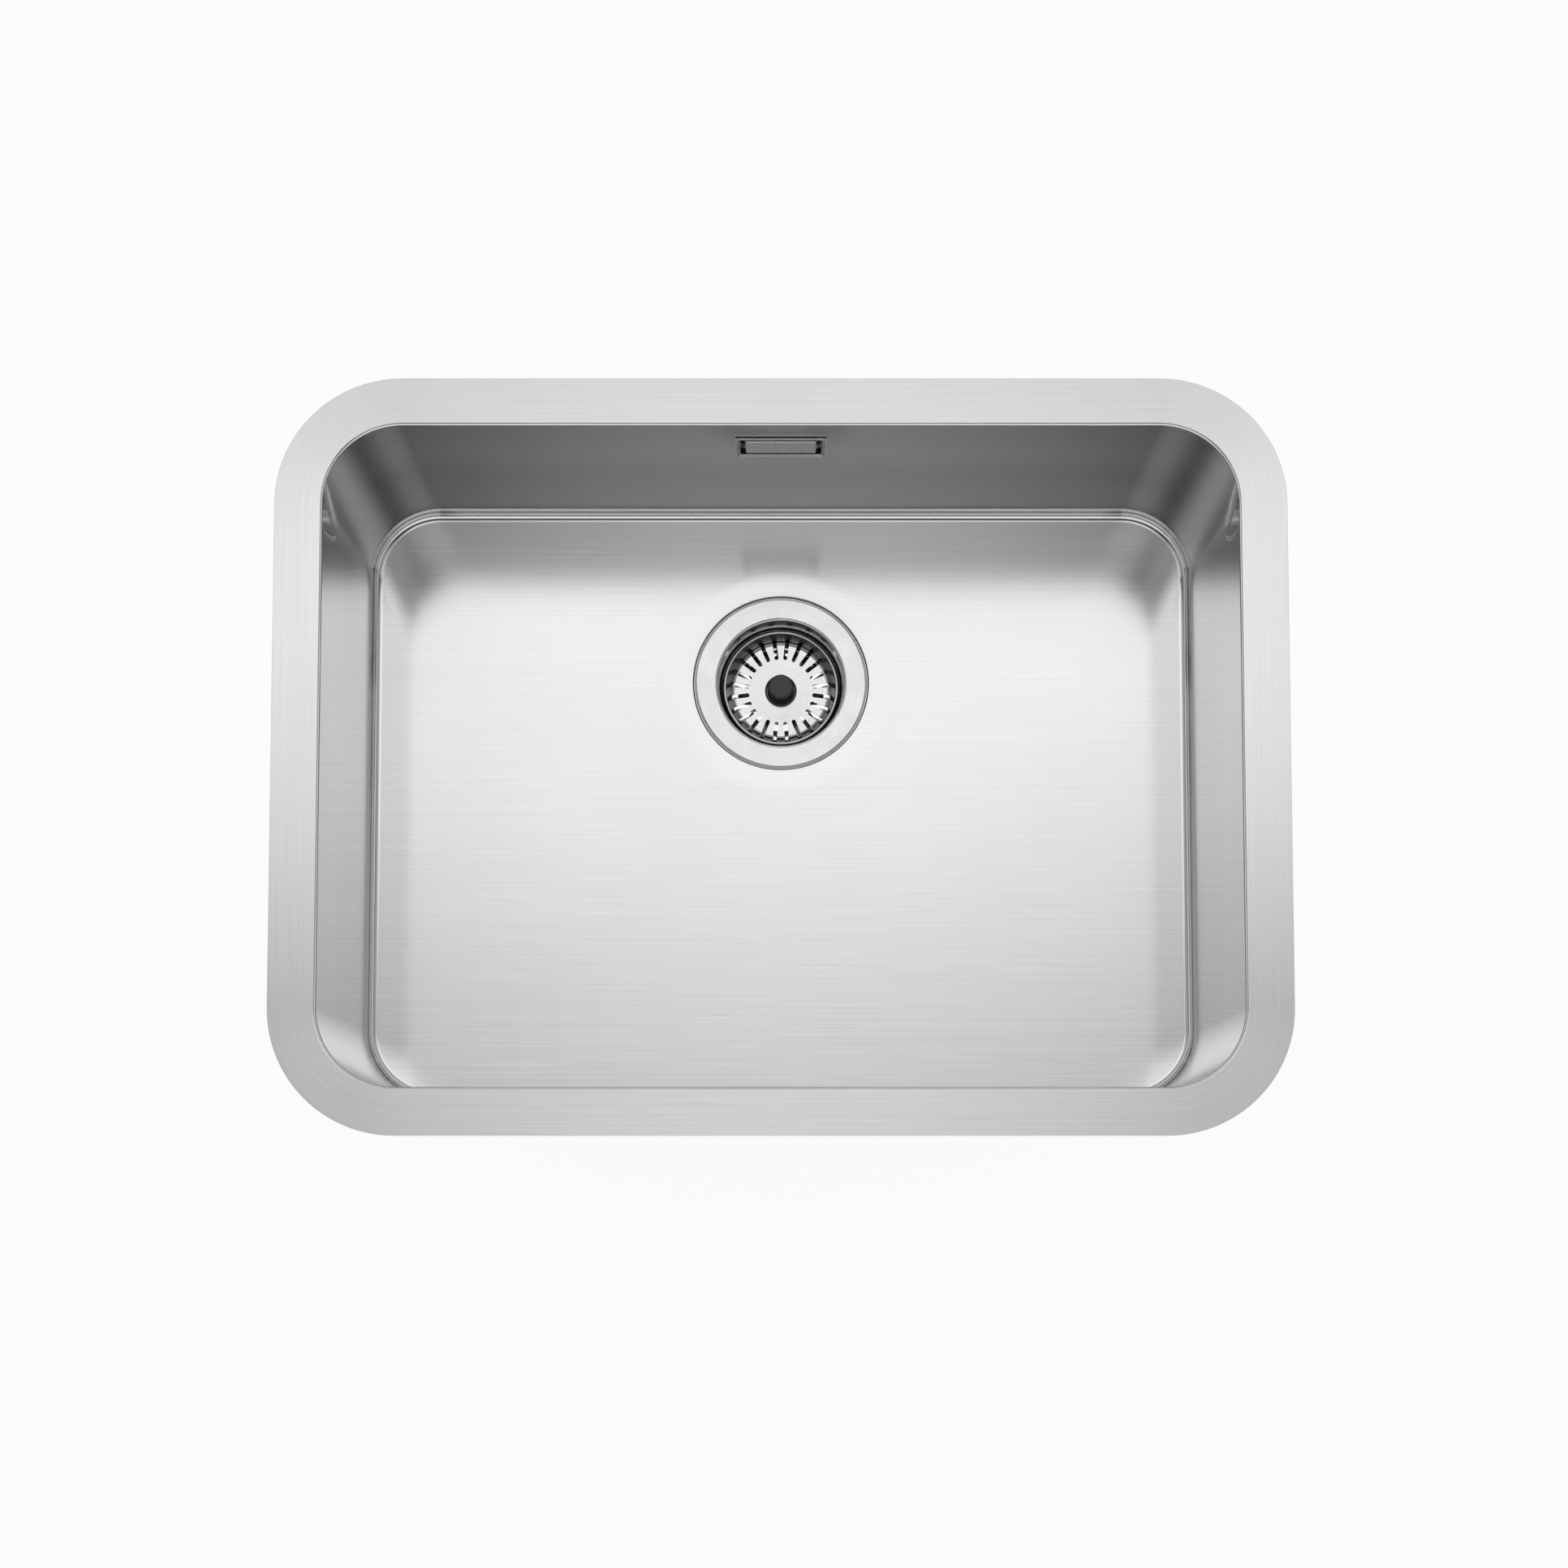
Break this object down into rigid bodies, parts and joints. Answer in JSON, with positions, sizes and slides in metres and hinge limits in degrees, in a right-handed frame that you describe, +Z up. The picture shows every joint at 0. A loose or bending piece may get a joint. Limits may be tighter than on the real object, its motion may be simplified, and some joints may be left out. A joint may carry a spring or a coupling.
{
  "type": "undermount kitchen sink",
  "caption": "Single-bowl pressed steel undermount kitchen sink with a flat flange, a basket strainer waste and a rear overflow piped to the waste.",
  "frame": {"origin": "centre of the bowl's mouth, level with the flange's top face, which bears on the underside of the worktop", "axes": "+X along the sink to the right, +Y from the front to the rear wall with the overflow, +Z up out of the bowl"},
  "size_m": [0.6, 0.45, 0.2888],
  "materials": {
    "brushed_steel": "brushed, grain along the flange and across the walls",
    "polished_steel": "mirror polished",
    "satin_steel": "fine satin",
    "spring_steel": "plain bright",
    "zinc_steel": "zinc plated",
    "brass": "machined",
    "black_plastic": "soft gloss black",
    "white_plastic": "moulded, fine grain",
    "grey_plastic": "extruded, fine grain",
    "seal_rubber": "moulded rubber",
    "pad_rubber": "pressed sheet with fine grain"
  },
  "bodies": {
    "sink": {"bowl_shell": "brushed_steel", "base_pad_left": "pad_rubber", "base_pad_right": "pad_rubber", "base_pad_front": "pad_rubber", "strainer_cup": "polished_steel", "upper_seal": "seal_rubber", "lower_seal": "seal_rubber", "waste_body": "white_plastic", "screw_insert": "brass", "screw_washer": "seal_rubber", "waste_screw": "polished_steel", "overflow_frame": "satin_steel", "overflow_screws": "zinc_steel", "overflow_seal": "seal_rubber", "overflow_housing": "white_plastic", "overflow_hose": "grey_plastic", "hose_clip_upper": "zinc_steel", "hose_clip_lower": "zinc_steel", "clip_screws": "zinc_steel"},
    "catch": {"post_catch": "white_plastic", "catch_ring": "spring_steel"},
    "basket": {"basket": "polished_steel", "basket_seal": "seal_rubber", "basket_post": "polished_steel", "basket_nut": "zinc_steel", "basket_knob": "black_plastic"},
    "overflow_cover": {"overflow_cover": "satin_steel", "overflow_clips": "spring_steel"}
  },
  "joints": [
    {"name": "basket_turn", "type": "hinge", "parent": "sink", "child": "catch", "pos_m": [0, 0.081, -0.235], "axis": [0, 0, 1], "continuous": true},
    {"name": "basket_lift", "type": "slide", "parent": "catch", "child": "basket", "axis": [0, 0, 1], "range_m": [0, 0.25]},
    {"name": "cover_pull", "type": "slide", "parent": "sink", "child": "overflow_cover", "axis": [0, -1, 0.0087], "range_m": [0, 0.04]}
  ]
}
